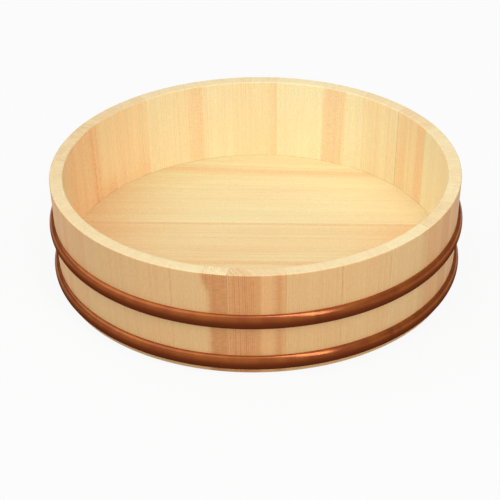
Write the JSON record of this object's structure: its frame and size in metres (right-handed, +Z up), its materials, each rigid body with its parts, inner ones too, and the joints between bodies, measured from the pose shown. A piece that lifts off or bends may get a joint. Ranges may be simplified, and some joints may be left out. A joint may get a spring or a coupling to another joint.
{
  "type": "sushi rice tub",
  "caption": "Round shallow wooden tub of upright staves with a raised floor of boards, held by half-round copper hoops, for cooling and seasoning cooked rice.",
  "frame": {"origin": "on the tub's axis, on the surface that it stands on", "axes": "+Z up along the tub's axis, -Y towards the front of the picture, +X to its right"},
  "size_m": [0.4264, 0.4264, 0.112],
  "materials": {
    "stave_wood": "bare planed softwood, pale cream to tan with reddish heartwood streaks",
    "floor_wood": "bare planed softwood, pale cream, fine straight grain",
    "bamboo": "split bamboo, bare",
    "copper": "rolled copper, satin, darkened to a warm brown"
  },
  "bodies": {
    "root": {"stave_01": "stave_wood", "stave_02": "stave_wood", "stave_03": "stave_wood", "stave_04": "stave_wood", "stave_05": "stave_wood", "stave_06": "stave_wood", "stave_07": "stave_wood", "stave_08": "stave_wood", "stave_09": "stave_wood", "stave_10": "stave_wood", "stave_11": "stave_wood", "stave_12": "stave_wood", "stave_13": "stave_wood", "stave_14": "stave_wood", "stave_15": "stave_wood", "stave_16": "stave_wood", "stave_17": "stave_wood", "stave_18": "stave_wood", "stave_19": "stave_wood", "stave_20": "stave_wood", "stave_21": "stave_wood", "stave_22": "stave_wood", "stave_23": "stave_wood", "stave_24": "stave_wood", "stave_pin_01": "bamboo", "stave_pin_02": "bamboo", "stave_pin_03": "bamboo", "stave_pin_04": "bamboo", "stave_pin_05": "bamboo", "stave_pin_06": "bamboo", "stave_pin_07": "bamboo", "stave_pin_08": "bamboo", "stave_pin_09": "bamboo", "stave_pin_10": "bamboo", "stave_pin_11": "bamboo", "stave_pin_12": "bamboo", "stave_pin_13": "bamboo", "stave_pin_14": "bamboo", "stave_pin_15": "bamboo", "stave_pin_16": "bamboo", "stave_pin_17": "bamboo", "stave_pin_18": "bamboo", "stave_pin_19": "bamboo", "stave_pin_20": "bamboo", "stave_pin_21": "bamboo", "stave_pin_22": "bamboo", "stave_pin_23": "bamboo", "stave_pin_24": "bamboo", "floor_board_1": "floor_wood", "floor_board_2": "floor_wood", "floor_board_3": "floor_wood", "floor_board_4": "floor_wood", "floor_board_5": "floor_wood", "floor_pin_1": "bamboo", "floor_pin_2": "bamboo", "floor_pin_3": "bamboo", "floor_pin_4": "bamboo", "upper_hoop": "copper", "lower_hoop": "copper"}
  },
  "joints": []
}
